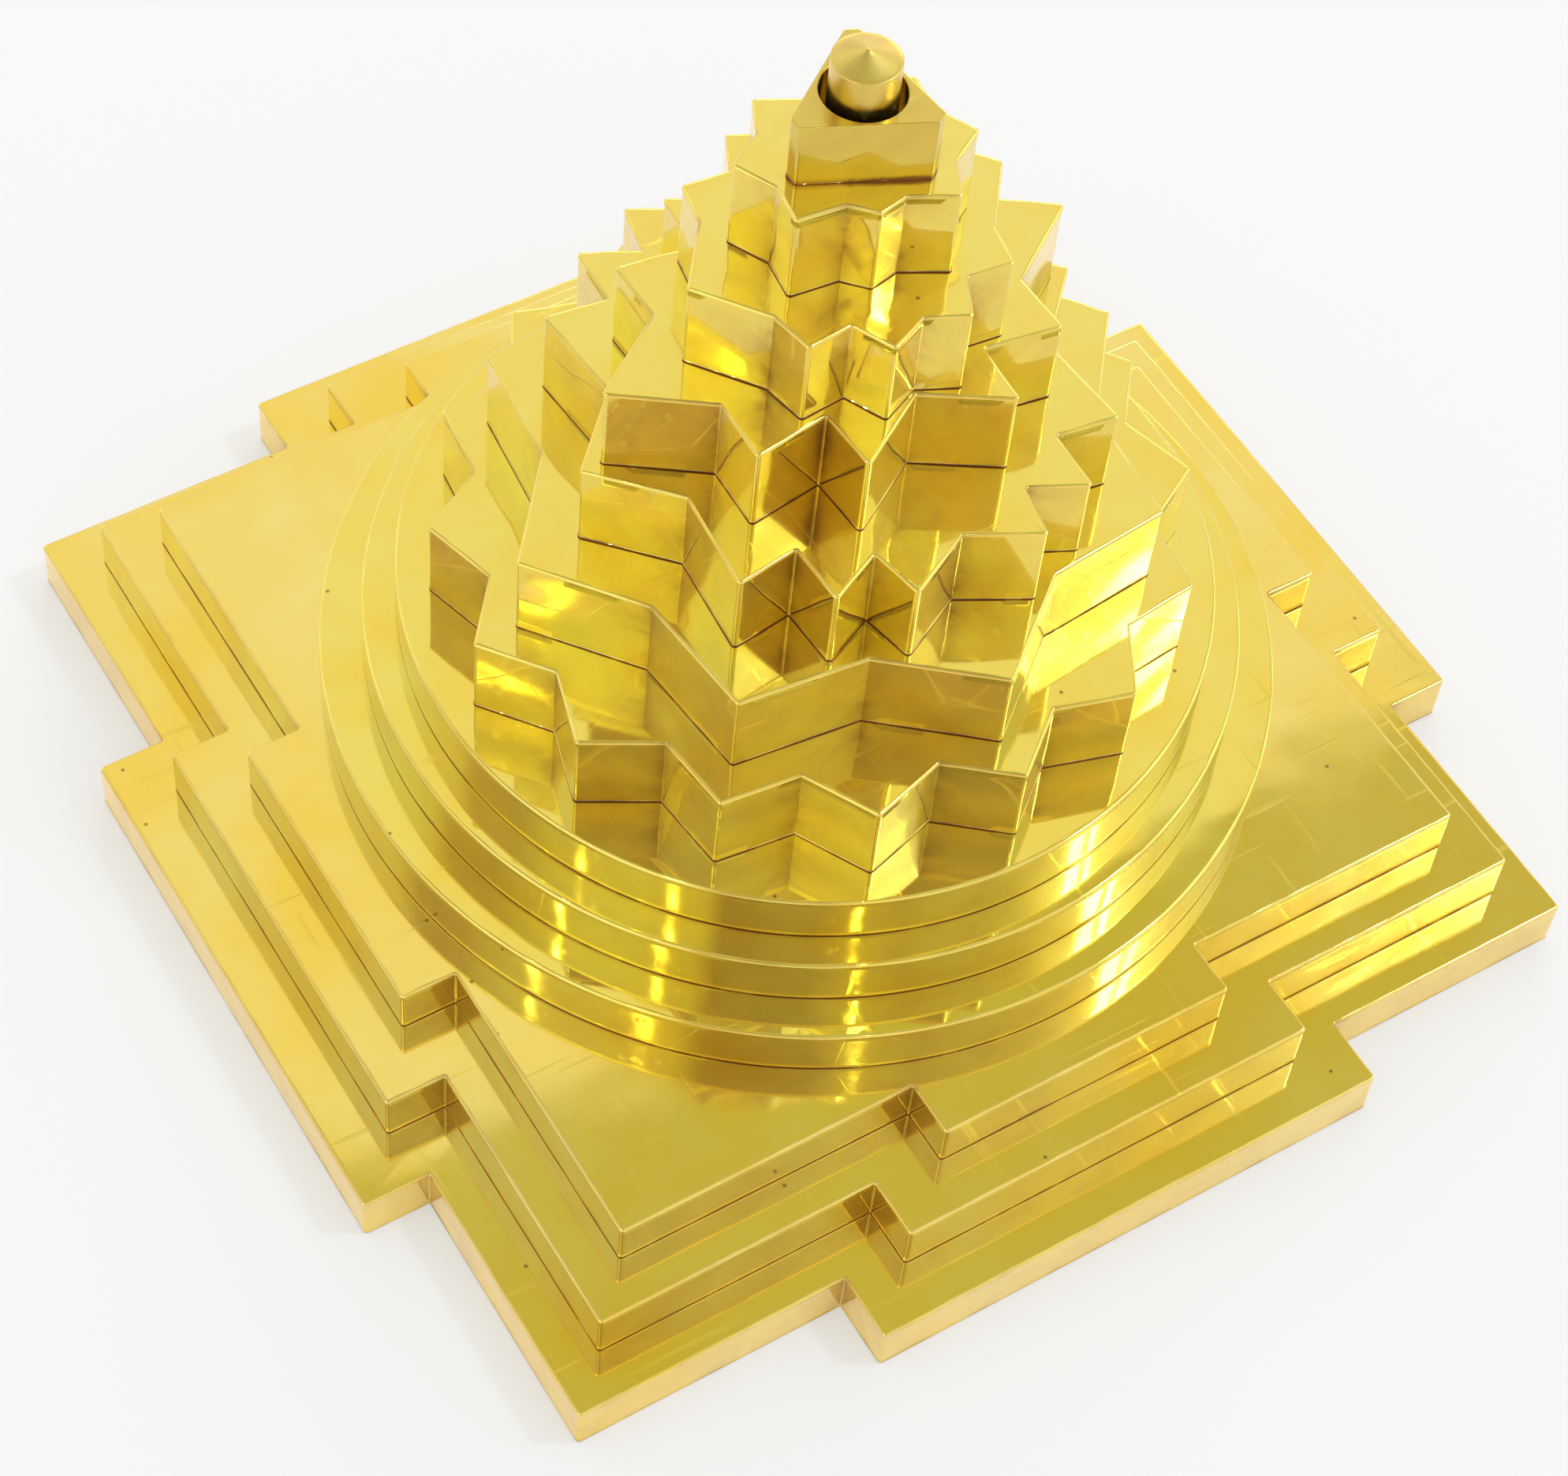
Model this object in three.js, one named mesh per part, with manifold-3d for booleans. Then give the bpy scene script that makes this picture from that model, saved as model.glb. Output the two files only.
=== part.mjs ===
// Meru shri yantra in polished brass: three square plates with gates, three round discs, six stars,
// a triangular block and a loose bindu, stacked on one tie rod with dowels and pins inside.
// Millimetres, +Z up, origin at the middle of the underside, the stars' long axis along X.
import * as THREE from "three";
import { mergeVertices } from "three/addons/utils/BufferGeometryUtils.js";
import Module from "manifold-3d";

// Square ground plates: the lowest one's side, how far each stands in from the one below, and the
// width and reach of the gate on each of its sides
const plateSide = 120;
const plateStep = 5;
const plateHeight = 6;
const upperPlateHeight = 5.5;
const lowerGateWidth = 60;
const lowerGateReach = 7.3;
const middleGateWidth = 48;
const middleGateReach = 6.5;
const upperGateWidth = 34;
const upperGateReach = 6;

// Round discs: the lowest just fits on the upper plate
const middleDiscDiameter = 91;
const upperDiscDiameter = 84;
const discHeight = 5.8;
const discSegments = 96;

// Stars, from the widest up: the distance from the middle to the longest tips, and in the two
// regular stars to the corners between the tips
const starHeight = 9.9;
const sixteenReach = 38.8;
const sixteenWaist = 34.1;
const eightReach = 34.2;
const eightWaist = 27.7;
const fourteenReach = 28.2;
const outerTenReach = 25.7;
const innerTenReach = 17.1;
const topStarReach = 11.6;
const topStarTurn = -16.5;

// Small chamfer on the edges of every tier and of the bindu
const edgeBreak = 0.25;

// Bindu: a peg with a low cone, loose in the block's hole, standing on the topmost star
const binduRadius = 3.25;
const binduStem = 10.9;
const binduCone = 1.1;
const binduClearance = 0.75;

// Triangular block: the least metal round its hole, how much of each side its cut corners take, and
// its turn from +X to the middle of one side
const blockWall = 0.4;
const blockCornerCut = 1.4;
const blockHeight = 7.1;
const blockTurn = 5.8;

// Tie rod, washer and thin nut, with plain threads: how far the rod's end stands out of the nut, and
// how far it stays above the table
const rodRadius = 2.5;
const rodProud = 0.5;
const rodRecess = 0.3;
const washerWidth = 2.25;
const washerThickness = 1;
const nutWall = 1.25;
const nutHeight = 2.7;
const nutSides = 6;
const counterboreClearance = 1;

// Dowels from the lowest plate up into the smaller ten-tip star: the metal between their holes and
// the counterbore, and the metal left under them
const dowelRadius = 1.5;
const dowelWall = 1.25;
const dowelFloor = 2;

// Short pins under the topmost star, along its long axis: the metal between them and the rod's hole
const starPinRadius = 1;
const starPinWall = 2;
const starPinDepth = 3;

// Small pins under the block's three corners: the metal between them and the bindu's hole
const blockPinRadius = 0.75;
const blockPinWall = 0.8;
const blockPinDepthInBlock = 3.5;
const blockPinDepthInStar = 3;

// The metal left above the rod and the dowels
const holeRoof = 3.9;

// Clearances: round a pin or rod in its hole, and past a pin's end in a blind hole
const holeClearance = 0.25;
const endClearance = 0.3;
const cutOverrun = 1;
const pinSegments = 16;
const holeSegments = 32;

// Sizes that follow: the holes' radii, and how far the pins stand from the middle
const binduHoleRadius = binduRadius + binduClearance;
const blockInRadius = binduHoleRadius + blockWall;
const rodHoleRadius = rodRadius + holeClearance;
const washerRadius = rodHoleRadius + washerWidth;
const counterboreRadius = washerRadius + counterboreClearance;
const counterboreDepth = rodRecess + rodProud + nutHeight + washerThickness;
const dowelOffset = counterboreRadius + dowelWall + holeClearance + dowelRadius;
const starPinOffset = rodHoleRadius + starPinWall + holeClearance + starPinRadius;
const blockPinOffset = binduHoleRadius + blockPinWall + holeClearance + blockPinRadius;
const middlePlateSide = plateSide - 2 * plateStep;
const upperPlateSide = middlePlateSide - 2 * plateStep;

const plates = [
  {
    name: "bhupura_lower",
    side: plateSide,
    gateWidth: lowerGateWidth,
    gateReach: lowerGateReach,
    height: plateHeight,
  },
  {
    name: "bhupura_middle",
    side: middlePlateSide,
    gateWidth: middleGateWidth,
    gateReach: middleGateReach,
    height: plateHeight,
  },
  {
    name: "bhupura_upper",
    side: upperPlateSide,
    gateWidth: upperGateWidth,
    gateReach: upperGateReach,
    height: upperPlateHeight,
  },
];

const discs = [
  { name: "disc_lower", diameter: upperPlateSide, height: discHeight },
  { name: "disc_middle", diameter: middleDiscDiameter, height: discHeight },
  { name: "disc_upper", diameter: upperDiscDiameter, height: discHeight },
];

// A regular star has a number of tips. The others are mirrored in X and in Y from one quarter: the
// turn of each corner from +X, in degrees, and its share of the reach.
const stars = [
  { name: "star_sixteen", reach: sixteenReach, waist: sixteenWaist, tips: 16, height: starHeight },
  { name: "star_eight", reach: eightReach, waist: eightWaist, tips: 8, height: starHeight },
  {
    name: "star_fourteen",
    reach: fourteenReach,
    height: starHeight,
    quarterShares: [
      { turn: 0, share: 0.98 },
      { turn: 20.2, share: 0.77 },
      { turn: 41, share: 1 },
      { turn: 50.2, share: 0.81 },
      { turn: 59.5, share: 1 },
      { turn: 68.5, share: 0.82 },
      { turn: 75, share: 1 },
      { turn: 90, share: 0.83 },
    ],
  },
  {
    name: "star_ten_outer",
    reach: outerTenReach,
    height: starHeight,
    quarterShares: [
      { turn: 0, share: 1 },
      { turn: 20.6, share: 0.69 },
      { turn: 38, share: 0.83 },
      { turn: 53.7, share: 0.575 },
      { turn: 66, share: 0.8 },
      { turn: 90, share: 0.53 },
    ],
  },
  {
    name: "star_ten_inner",
    reach: innerTenReach,
    height: starHeight,
    quarterShares: [
      { turn: 0, share: 1 },
      { turn: 29, share: 0.8 },
      { turn: 45.6, share: 0.925 },
      { turn: 60, share: 0.73 },
      { turn: 74.5, share: 0.91 },
      { turn: 90, share: 0.765 },
    ],
  },
  {
    name: "star_eight_inner",
    reach: topStarReach,
    height: starHeight,
    turned: topStarTurn,
    quarterShares: [
      { turn: 0, share: 1 },
      { turn: 22, share: 0.785 },
      { turn: 45, share: 0.945 },
      { turn: 68, share: 0.63 },
      { turn: 90, share: 0.715 },
    ],
  },
];

const wasm = await Module();
wasm.setup();

const polishedBrass = { color: "#c9a227", roughness: 0.12, metalness: 1 };
const plainSteel = { color: "#9a9c9e", roughness: 0.4, metalness: 1 };

// A height as 32 bits hold it, so that two faces that touch share one plane
const exact = Math.fround;

const radians = THREE.MathUtils.degToRad;

// A point at a turn from +X, in degrees, and a distance from the middle
function polar(turn, distance) {
  return new THREE.Vector2(
    distance * Math.cos(radians(turn)),
    distance * Math.sin(radians(turn)),
  );
}

// Outline of a square plate with one gate on each side
function plateOutline({ side, gateWidth, gateReach }) {
  const half = side / 2;
  const gate = gateWidth / 2;
  const oneSide = [
    [half, -half],
    [half, -gate],
    [half + gateReach, -gate],
    [half + gateReach, gate],
    [half, gate],
  ];
  const middle = new THREE.Vector2();
  return [0, 1, 2, 3].flatMap((quarter) =>
    oneSide.map(([x, y]) =>
      new THREE.Vector2(x, y).rotateAround(middle, (quarter * Math.PI) / 2),
    ),
  );
}

// Outline of a disc as straight steps
function circleOutline(radius) {
  return Array.from({ length: discSegments }, (_, step) =>
    polar((step * 360) / discSegments, radius),
  );
}

// Outline of a star whose tips are all alike
function regularStarOutline({ reach, waist, tips }) {
  return Array.from({ length: 2 * tips }, (_, corner) =>
    polar((corner * 180) / tips, corner % 2 ? waist : reach),
  );
}

// Outline of a star that is mirrored in X and in Y from the corners of one quarter
function mirroredStarOutline({ reach, quarterShares }) {
  const quarter = quarterShares.map(({ turn, share }) => polar(turn, share * reach));
  const inner = quarter.slice(1, -1).reverse();
  const half = [...quarter, ...inner.map(({ x, y }) => new THREE.Vector2(-x, y))];
  return [...half, ...half.map(({ x, y }) => new THREE.Vector2(-x, -y))];
}

// Outline of the block: a triangle of equal sides whose corners are cut square to their middle line
function blockOutline() {
  const halfSide = blockInRadius * Math.sqrt(3) - blockCornerCut;
  const middle = new THREE.Vector2();
  return [0, 1, 2].flatMap((side) =>
    [-halfSide, halfSide].map((along) =>
      new THREE.Vector2(blockInRadius, along).rotateAround(middle, radians(120 * side)),
    ),
  );
}

// A slab of the outline from zero to the height, with its upper and lower edges broken
function slab(outline, height) {
  const geometry = new THREE.ExtrudeGeometry(new THREE.Shape(outline), {
    depth: height - 2 * edgeBreak,
    bevelEnabled: true,
    bevelSegments: 1,
    bevelThickness: edgeBreak,
    bevelSize: edgeBreak,
    bevelOffset: -edgeBreak,
  });
  geometry.translate(0, 0, edgeBreak);
  const position = geometry.getAttribute("position");
  for (let i = 0; i < position.count; i += 1) {
    const z = position.getZ(i);
    if (z < edgeBreak / 2) position.setZ(i, 0);
    if (z > height - edgeBreak / 2) position.setZ(i, height);
  }
  return geometry;
}

// A round bar along Z between two heights, at a place in plan
function roundBar(radius, bottom, top, place, segments) {
  const geometry = new THREE.LatheGeometry(
    [
      new THREE.Vector2(0, bottom),
      new THREE.Vector2(radius, bottom),
      new THREE.Vector2(radius, top),
      new THREE.Vector2(0, top),
    ],
    segments,
  );
  geometry.rotateX(Math.PI / 2);
  geometry.translate(place.x, place.y, 0);
  return geometry;
}

// A closed geometry as a solid that can be cut
function solidOf(geometry) {
  const bare = geometry.index ? geometry.toNonIndexed() : geometry.clone();
  bare.deleteAttribute("normal");
  bare.deleteAttribute("uv");
  const merged = mergeVertices(bare);
  return new wasm.Manifold(
    new wasm.Mesh({
      numProp: 3,
      vertProperties: merged.getAttribute("position").array,
      triVerts: new Uint32Array(merged.index.array),
    }),
  );
}

// The geometry with each of the tools cut away from it
function cutBy(geometry, tools) {
  const cut = tools.reduce((left, tool) => left.subtract(solidOf(tool)), solidOf(geometry));
  const { vertProperties, numProp, triVerts } = cut.getMesh();
  const result = new THREE.BufferGeometry();
  const position = new THREE.BufferAttribute(new Float32Array(vertProperties), numProp);
  result.setAttribute("position", position);
  result.setIndex(new THREE.BufferAttribute(new Uint32Array(triVerts), 1));
  const flat = result.toNonIndexed();
  flat.computeVertexNormals();
  return flat;
}

// The fixed stack, and the whole object with the loose bindu
const stack = new THREE.Group();
const yantra = new THREE.Group();
yantra.add(stack);

// Adds one named piece to a group, its base at the given height
function addPiece(group, name, geometry, look, base) {
  const mesh = new THREE.Mesh(geometry, new THREE.MeshStandardMaterial(look));
  mesh.name = name;
  mesh.position.z = base;
  group.add(mesh);
}

// Heights at which the tiers stand, one on the other
const baseOf = {};
let topLevel = 0;
for (const tier of [...plates, ...discs, ...stars]) {
  baseOf[tier.name] = topLevel;
  topLevel += exact(tier.height);
}
const middleLine = new THREE.Vector2();
const topStarBase = baseOf[stars.at(-1).name];

// Hidden dowels and pins: places in plan, and the two ends of their holes
const pinRows = [
  {
    radius: dowelRadius,
    bottom: dowelFloor,
    top: topStarBase - holeRoof,
    places: {
      dowel_left: polar(180, dowelOffset),
      dowel_right: polar(0, dowelOffset),
    },
  },
  {
    radius: starPinRadius,
    bottom: topStarBase - starPinDepth,
    top: topStarBase + starPinDepth,
    places: {
      star_pin_left: polar(topStarTurn + 180, starPinOffset),
      star_pin_right: polar(topStarTurn, starPinOffset),
    },
  },
  {
    radius: blockPinRadius,
    bottom: topLevel - blockPinDepthInStar,
    top: topLevel + blockPinDepthInBlock,
    places: {
      block_pin_front: polar(blockTurn - 60, blockPinOffset),
      block_pin_right: polar(blockTurn + 60, blockPinOffset),
      block_pin_left: polar(blockTurn + 180, blockPinOffset),
    },
  },
];

// Every hole inside the stack: the rod's, the counterbore and those of the dowels and pins
const rodTop = topLevel - holeRoof;
const holes = [
  roundBar(rodHoleRadius, -cutOverrun, rodTop, middleLine, holeSegments),
  roundBar(counterboreRadius, -cutOverrun, counterboreDepth, middleLine, holeSegments),
  ...pinRows.flatMap(({ radius, bottom, top, places }) =>
    Object.values(places).map((place) =>
      roundBar(radius + holeClearance, bottom, top, place, pinSegments),
    ),
  ),
];

// Adds a tier to the stack with the holes that meet it cut out, and its own tools if it has any
function addTier(name, geometry, base, ownTools = []) {
  const tools = holes.map((hole) => hole.clone().translate(0, 0, -base));
  addPiece(stack, name, cutBy(geometry, [...tools, ...ownTools]), polishedBrass, base);
}

for (const plate of plates)
  addTier(plate.name, slab(plateOutline(plate), plate.height), baseOf[plate.name]);

for (const disc of discs)
  addTier(disc.name, slab(circleOutline(disc.diameter / 2), disc.height), baseOf[disc.name]);

for (const star of stars) {
  const outline = star.tips ? regularStarOutline(star) : mirroredStarOutline(star);
  const geometry = slab(outline, star.height);
  geometry.rotateZ(radians(star.turned ?? 0));
  addTier(star.name, geometry, baseOf[star.name]);
}

// Block, with the bindu's hole right through it
const blockGeometry = slab(blockOutline(), blockHeight);
blockGeometry.rotateZ(radians(blockTurn));
const binduHole = roundBar(
  binduHoleRadius,
  -cutOverrun,
  blockHeight + cutOverrun,
  middleLine,
  holeSegments,
);
addTier("top_triangle", blockGeometry, topLevel, [binduHole]);

// Bindu, loose in that hole
const binduGeometry = new THREE.LatheGeometry(
  [
    new THREE.Vector2(0, 0),
    new THREE.Vector2(binduRadius - edgeBreak, 0),
    new THREE.Vector2(binduRadius, edgeBreak),
    new THREE.Vector2(binduRadius, binduStem),
    new THREE.Vector2(0, binduStem + binduCone),
  ],
  holeSegments,
);
binduGeometry.rotateX(Math.PI / 2);
addPiece(yantra, "bindu", binduGeometry, polishedBrass, topLevel);

// Tie rod, and the washer and nut that hold it in the counterbore
const rodBase = rodRecess;
const nutBase = rodBase + rodProud;
const washerBase = nutBase + nutHeight;
const rodLength = rodTop - endClearance - rodBase;
const rod = roundBar(rodRadius, 0, rodLength, middleLine, holeSegments);
addPiece(stack, "tie_rod", rod, plainSteel, rodBase);

const rodHole = roundBar(rodHoleRadius, -cutOverrun, rodTop, middleLine, holeSegments);
const washer = roundBar(washerRadius, 0, washerThickness, middleLine, holeSegments);
addPiece(stack, "tie_washer", cutBy(washer, [rodHole]), plainSteel, washerBase);

const nutCorner = (rodHoleRadius + nutWall) / Math.cos(Math.PI / nutSides);
const nut = roundBar(nutCorner, 0, nutHeight, middleLine, nutSides);
addPiece(stack, "tie_nut", cutBy(nut, [rodHole]), plainSteel, nutBase);

// Dowels and pins, each short of both ends of its hole
for (const { radius, bottom, top, places } of pinRows)
  for (const [name, place] of Object.entries(places)) {
    const length = top - bottom - 2 * endClearance;
    const pin = roundBar(radius, 0, length, place, pinSegments);
    addPiece(stack, name, pin, plainSteel, bottom + endClearance);
  }

export default yantra;
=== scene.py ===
import bmesh
import bpy
import numpy as np
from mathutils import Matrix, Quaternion, Vector
from mathutils.geometry import tessellate_polygon


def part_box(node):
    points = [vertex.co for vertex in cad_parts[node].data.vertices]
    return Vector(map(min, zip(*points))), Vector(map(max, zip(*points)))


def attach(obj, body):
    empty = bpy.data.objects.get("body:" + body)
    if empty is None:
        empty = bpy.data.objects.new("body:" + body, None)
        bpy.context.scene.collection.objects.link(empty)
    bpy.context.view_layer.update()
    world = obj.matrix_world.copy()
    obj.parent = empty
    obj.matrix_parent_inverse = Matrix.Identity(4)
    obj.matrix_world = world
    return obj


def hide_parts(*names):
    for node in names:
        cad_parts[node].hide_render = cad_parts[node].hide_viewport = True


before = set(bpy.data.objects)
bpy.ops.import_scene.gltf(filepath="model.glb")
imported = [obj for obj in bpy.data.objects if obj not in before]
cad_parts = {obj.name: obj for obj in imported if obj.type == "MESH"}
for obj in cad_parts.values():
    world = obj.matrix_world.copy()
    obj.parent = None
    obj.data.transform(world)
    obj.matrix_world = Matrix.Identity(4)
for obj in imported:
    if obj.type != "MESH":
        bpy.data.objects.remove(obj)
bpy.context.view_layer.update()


# Tie rod with its washer and nut, two long dowels and five small pins, all plain turned steel and
# all hidden. The rod draws the tiers together, and the dowels and pins keep them from turning.
# They stay as the CAD has them, with a turned steel finish.
hidden_fastening = ["tie_rod", "tie_washer", "tie_nut"]
hidden_pins = [
    "dowel_left",
    "dowel_right",
    "star_pin_left",
    "star_pin_right",
    "block_pin_front",
    "block_pin_right",
    "block_pin_left",
]


def add_node(tree, kind, place, **settings):
    """One shader node of a kind at a place in the tree, with its properties set."""
    node = tree.nodes.new(kind)
    node.location = place
    for setting, value in settings.items():
        setattr(node, setting, value)
    return node


def set_inputs(node, **values):
    """Sets a node's unlinked sockets; an underscore in a name stands for a space."""
    for socket, value in values.items():
        node.inputs[socket.replace("_", " ")].default_value = value


def new_material(name):
    """A material with its node tree emptied but for one Principled shader and the output."""
    material = bpy.data.materials.new(name)
    material.use_nodes = True
    tree = material.node_tree
    tree.nodes.clear()
    shader = add_node(tree, "ShaderNodeBsdfPrincipled", (300, 0))
    output = add_node(tree, "ShaderNodeOutputMaterial", (600, 0))
    tree.links.new(shader.outputs["BSDF"], output.inputs["Surface"])
    return material, tree, shader


def turned_steel():
    """Grey steel whose roughness runs in fine rings along the bar, as a turning tool leaves it."""
    material, tree, shader = new_material("turned steel")
    place = add_node(tree, "ShaderNodeTexCoord", (-900, 0))
    rings = add_node(tree, "ShaderNodeTexWave", (-600, 100), bands_direction="Z")
    set_inputs(rings, Scale=900.0, Distortion=1.5, Detail=2.0)
    stain = add_node(tree, "ShaderNodeTexNoise", (-600, -200))
    set_inputs(stain, Scale=260.0, Detail=3.0)
    rough = add_node(tree, "ShaderNodeMapRange", (-300, 100))
    set_inputs(rough, To_Min=0.28, To_Max=0.42)
    grey = add_node(tree, "ShaderNodeMix", (-300, -200), data_type="RGBA")
    grey.inputs["A"].default_value = (0.46, 0.47, 0.48, 1)
    grey.inputs["B"].default_value = (0.36, 0.36, 0.36, 1)
    tree.links.new(place.outputs["Object"], rings.inputs["Vector"])
    tree.links.new(place.outputs["Object"], stain.inputs["Vector"])
    tree.links.new(rings.outputs["Fac"], rough.inputs["Value"])
    tree.links.new(stain.outputs["Fac"], grey.inputs["Factor"])
    tree.links.new(rough.outputs["Result"], shader.inputs["Roughness"])
    tree.links.new(grey.outputs["Result"], shader.inputs["Base Color"])
    shader.inputs["Metallic"].default_value = 1.0
    return material


steel = turned_steel()
for name in [*hidden_fastening, *hidden_pins]:
    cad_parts[name].data.materials.clear()
    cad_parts[name].data.materials.append(steel)


# Holes that run through the tiers for those pieces, drilled a little wider than what goes in, and
# the counterbore for the nut under the lowest plate. Each is read from the piece that it takes.
hole_clearance = 0.25
end_clearance = 0.3
counterbore_clearance = 1.0
bindu_clearance = 0.75
hole_steps = 48
underside = -1.0
mm_per_metre = 1000


def bar_of(name):
    """Place in plan, radius, foot and top of a round CAD piece that stands upright, in millimetres."""
    low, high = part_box(name)
    middle = (low + high) * mm_per_metre / 2
    radius = (high.x - low.x) * mm_per_metre / 2
    return middle.x, middle.y, radius, low.z * mm_per_metre, high.z * mm_per_metre


def hole_for(name):
    """The hole round a pin or dowel: its radius and both ends with their clearances."""
    x, y, radius, foot, top = bar_of(name)
    return x, y, radius + hole_clearance, foot - end_clearance, top + end_clearance


_, _, rod_radius, _, rod_end = bar_of("tie_rod")
_, _, washer_radius, _, washer_top = bar_of("tie_washer")
rod_hole_radius = rod_radius + hole_clearance
rod_hole = (0.0, 0.0, rod_hole_radius, underside, rod_end + end_clearance)
counterbore_radius = washer_radius + counterbore_clearance
pin_holes = [hole_for(name) for name in hidden_pins]


# Three square ground plates, sawn and milled from 6 mm brass plate, with one gate standing out on
# each side. Their edges are eased with a fine file, and the faces are buffed by hand on a wheel.
# The lowest carries the nut's counterbore.

# Side, gate width, gate reach and how near the middle the tread's rings run, as a share of the edge
plate_sizes = {
    "bhupura_lower": (120.0, 60.0, 7.3, 0.74),
    "bhupura_middle": (110.0, 48.0, 6.5, 0.74),
    "bhupura_upper": (100.0, 34.0, 6.0, 0.62),
}
# Radii of the upright corners and valleys, and of the upper and lower edges
corner_radius = 0.45
valley_radius = 0.14
upper_edge = 0.3
lower_edge = 0.14
# Points and rows that carry them, and the short stretches that hold the shading beside an arc
arc_points = 7
lower_edge_points = 5
upper_edge_points = 7
wall_rows = 12
rings_per_share = 30
point_spacing = 0.9
edge_hold = 0.06
edge_hold_share = 0.2
# An edge whose faces turn by more than this, in degrees, is shaded sharp
sharp_turn = 40
# Waves in each slow unevenness, and how much and in what lengths the file's work on the edge varies
wave_count = 8
filed_share = 0.5
filed_waves = (2, 7)
filed_seed = 100
# Height and strength of the painted shade in the seam, partly old polish caught there, how tarnished
# the wall is, how much more so in a valley, and how far that reaches
seam_height = 0.11
seam_shade_and_polish = 2.2
wall_tarnish = 0.26
valley_extra = 2
valley_dirt_reach = 1.3


def turned_copies(points, turns):
    """The points turned about the middle by each turn, one copy after the other: (x cosine - y sine,
    x sine + y cosine)."""
    rows = np.stack([np.cos(turns), -np.sin(turns), np.sin(turns), np.cos(turns)], axis=-1)
    return np.einsum("qij,kj->qki", rows.reshape(-1, 2, 2), points).reshape(-1, 2)


def plate_corners(side, gate_width, gate_reach):
    """Corners of a square plate with a gate on each side: the five corners of one side, turned by
    quarters."""
    half, gate = side / 2, gate_width / 2
    reach = half + gate_reach
    one_side = np.array(
        [[half, -half], [half, -gate], [reach, -gate], [reach, gate], [half, gate]]
    )
    return turned_copies(one_side, np.arange(4) * np.pi / 2)


def rounded_outline(corners):
    """Points round an outline given by its corners, anticlockwise, the outward direction at each, and
    how near it is to a valley: 1 in one, fading as exp(-distance / reach). A corner is an arc that
    touches both its sides: its middle = corner - radius * (both outward directions added) / (1 +
    their dot product), and a point = middle + radius * direction, where a valley's radius counts as
    negative. Sides carry evenly spaced points between two arcs."""
    ahead = np.roll(corners, -1, axis=0) - corners
    after = np.arctan2(ahead[:, 1], ahead[:, 0]) - np.pi / 2
    before = np.roll(after, 1)
    turn = (after - before + np.pi) % (2 * np.pi) - np.pi
    radius = np.where(turn > 0, corner_radius, -valley_radius)[:, None, None]
    both = np.stack([np.cos(after) + np.cos(before), np.sin(after) + np.sin(before)], axis=-1)
    middle = corners[:, None] - radius * (both / (1 + np.cos(turn))[:, None])[:, None]
    angle = before[:, None] + turn[:, None] * np.linspace(0, 1, arc_points)
    arc_out = np.stack([np.cos(angle), np.sin(angle)], axis=-1)
    arc = middle + radius * arc_out
    start, end = arc[:, -1:], np.roll(arc[:, :1], -1, axis=0)
    run = np.linalg.norm(end - start, axis=-1, keepdims=True)
    hold = edge_hold / run
    count = int(np.ceil(run.max() / point_spacing)) + 1
    share = hold + (1 - 2 * hold) * np.linspace(0, 1, count)[None, :, None]
    side = start + (end - start) * share
    side_out = np.broadcast_to(arc_out[:, -1:], side.shape)
    points = np.concatenate([arc, side], axis=1).reshape(-1, 2)
    outward = np.concatenate([arc_out, side_out], axis=1).reshape(-1, 2)
    hollow = (turn < 0).astype(float)[:, None]
    near_start = hollow * np.exp(-(run * share)[..., 0] / valley_dirt_reach)
    near_end = np.roll(hollow, -1, axis=0) * np.exp(-(run * (1 - share))[..., 0] / valley_dirt_reach)
    along = np.maximum(near_start, near_end)
    valley = np.concatenate([np.repeat(hollow, arc_points, axis=1), along], axis=1)
    return points, outward, valley.reshape(-1)


def slow_waves(points, seed, shortest, longest):
    """The mean of several sine waves that run in random directions, from -1 to 1, at each point:
    sin(2 pi * (point . direction) / length + phase)."""
    random = np.random.default_rng(seed)
    direction = random.normal(size=(wave_count, 3))
    direction /= np.linalg.norm(direction, axis=1, keepdims=True)
    turns = 2 * np.pi / random.uniform(shortest, longest, size=(wave_count, 1))
    phase = random.uniform(0, 2 * np.pi, size=wave_count)
    return np.sin(points @ (direction * turns).T + phase).mean(axis=-1)


def edge_profile(height, upper, lower):
    """Inset and height of each row from the underside's edge up the wall to the tread's edge: a
    quarter round of the lower radius, the wall, and a quarter round of the upper radius."""
    low = np.linspace(0, np.pi / 2, lower_edge_points)
    high = np.linspace(0, np.pi / 2, upper_edge_points)
    hold = edge_hold_share * upper
    wall = np.linspace(lower + hold, height - upper - hold, wall_rows)
    inset = np.concatenate(
        [
            [lower + hold],
            lower * (1 - np.sin(low)),
            np.zeros(wall_rows),
            upper * (1 - np.cos(high)),
            [upper + hold],
        ]
    )
    level = np.concatenate(
        [[0], lower * (1 - np.cos(low)), wall, height - upper * (1 - np.sin(high)), [height]]
    )
    return inset, level


def holes_through(base, top):
    """The holes that meet a tier between two heights, each as rows of radius and height from its
    lower end up, with a word on which of its ends is open."""
    met = []
    for x, y, radius, foot, end in [rod_hole, *pin_holes]:
        if foot < top and end > base:
            rows = [(radius, max(foot, base)), (radius, min(end, top))]
            if radius == rod_hole_radius and base < washer_top:
                wide = [(counterbore_radius, base), (counterbore_radius, washer_top)]
                rows = [*wide, (radius, washer_top), rows[1]]
            met.append((x, y, rows, foot <= base, end >= top))
    return met


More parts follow.
